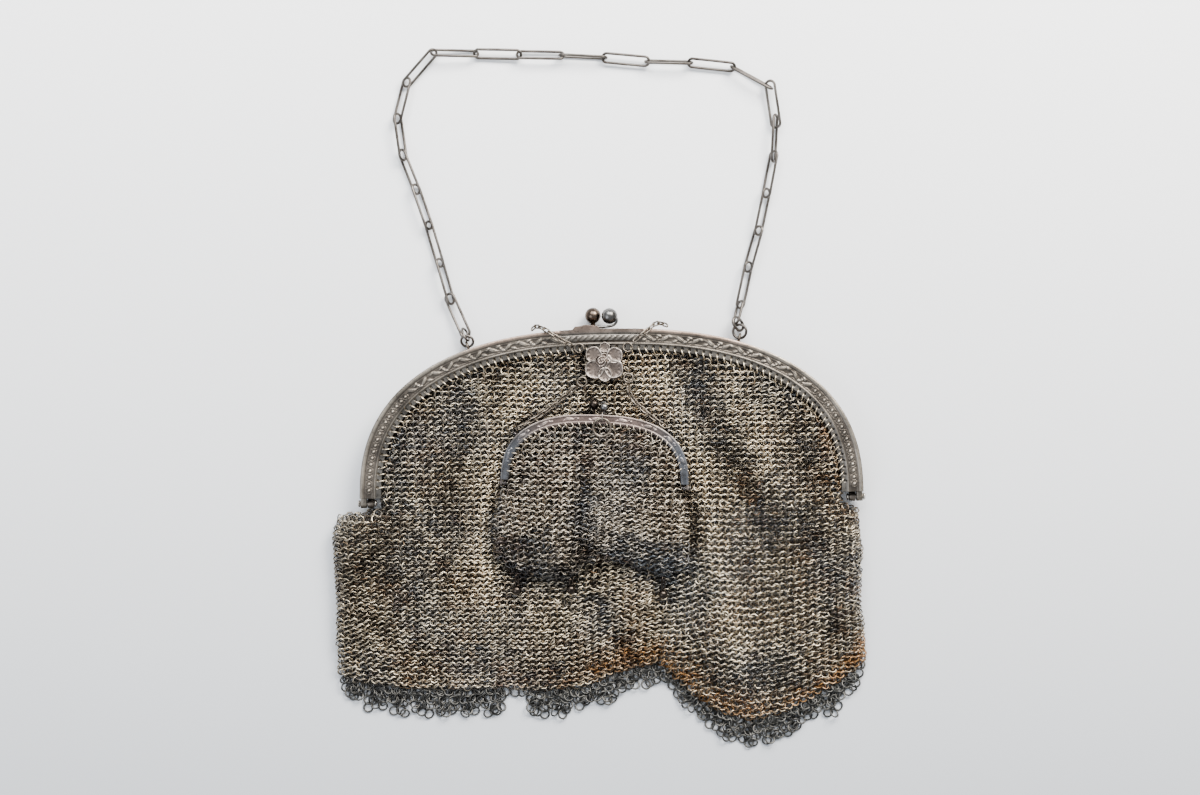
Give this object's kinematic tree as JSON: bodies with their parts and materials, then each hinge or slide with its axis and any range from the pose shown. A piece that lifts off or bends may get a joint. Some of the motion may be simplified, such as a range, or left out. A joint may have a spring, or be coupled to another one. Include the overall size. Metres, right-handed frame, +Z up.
{
  "type": "metal mesh purse",
  "caption": "Ring mesh purse lying on its back: arched cast frame with kissing clasp, small coin purse hung on its front, link chain handle and ring fringe.",
  "frame": {"origin": "centre of the bounding box at the surface that the purse lies on", "axes": "+Y from the fringe towards the chain handle, +X to the right as the front is seen, +Z up from the surface through the front of the purse"},
  "size_m": [0.1906, 0.2502, 0.0171],
  "materials": {
    "cast_frame": "worn cast nickel silver",
    "polished_metal": "tarnished polish",
    "ring_mesh": "ring mesh",
    "coin_mesh": "tarnished ring mesh",
    "fringe_rings": "dark tarnished rings",
    "chain_wire": "worn plated wire"
  },
  "bodies": {
    "root": {"frame_front": "cast_frame", "frame_back": "cast_frame", "hinge_pin_left": "polished_metal", "hinge_pin_right": "polished_metal", "clasp_ball_left": "polished_metal", "clasp_ball_right": "polished_metal", "chain_ring_left": "chain_wire", "jump_ring_left": "chain_wire", "handle_link_01": "chain_wire", "handle_link_02": "chain_wire", "handle_link_03": "chain_wire", "handle_link_04": "chain_wire", "handle_link_05": "chain_wire", "handle_link_06": "chain_wire", "handle_link_07": "chain_wire", "handle_link_08": "chain_wire", "handle_link_09": "chain_wire", "handle_link_10": "chain_wire", "handle_link_11": "chain_wire", "handle_link_12": "chain_wire", "handle_link_13": "chain_wire", "handle_link_14": "chain_wire", "handle_link_15": "chain_wire", "handle_link_16": "chain_wire", "handle_link_17": "chain_wire", "handle_link_18": "chain_wire", "handle_link_19": "chain_wire", "handle_link_20": "chain_wire", "handle_link_21": "chain_wire", "handle_link_22": "chain_wire", "handle_link_23": "chain_wire", "jump_ring_right": "chain_wire", "chain_ring_right": "chain_wire", "mesh_bag_front": "ring_mesh", "mesh_bag_back": "ring_mesh", "ring_fringe": "fringe_rings", "flower_plaque": "cast_frame", "plaque_ring_1": "chain_wire", "plaque_ring_2": "chain_wire", "plaque_ring_3": "chain_wire", "plaque_ring_4": "chain_wire", "coin_frame_front": "cast_frame", "coin_frame_back": "cast_frame", "coin_hinge_pin_left": "polished_metal", "coin_hinge_pin_right": "polished_metal", "coin_clasp_left": "polished_metal", "coin_clasp_right": "polished_metal", "coin_bag": "coin_mesh", "coin_pull_ring": "chain_wire", "coin_drop_1": "polished_metal", "coin_drop_2": "polished_metal", "coin_drop_3": "polished_metal", "safety_chain_left": "chain_wire", "safety_chain_right": "chain_wire", "coin_chain_left": "chain_wire", "coin_chain_right": "chain_wire"}
  },
  "joints": []
}
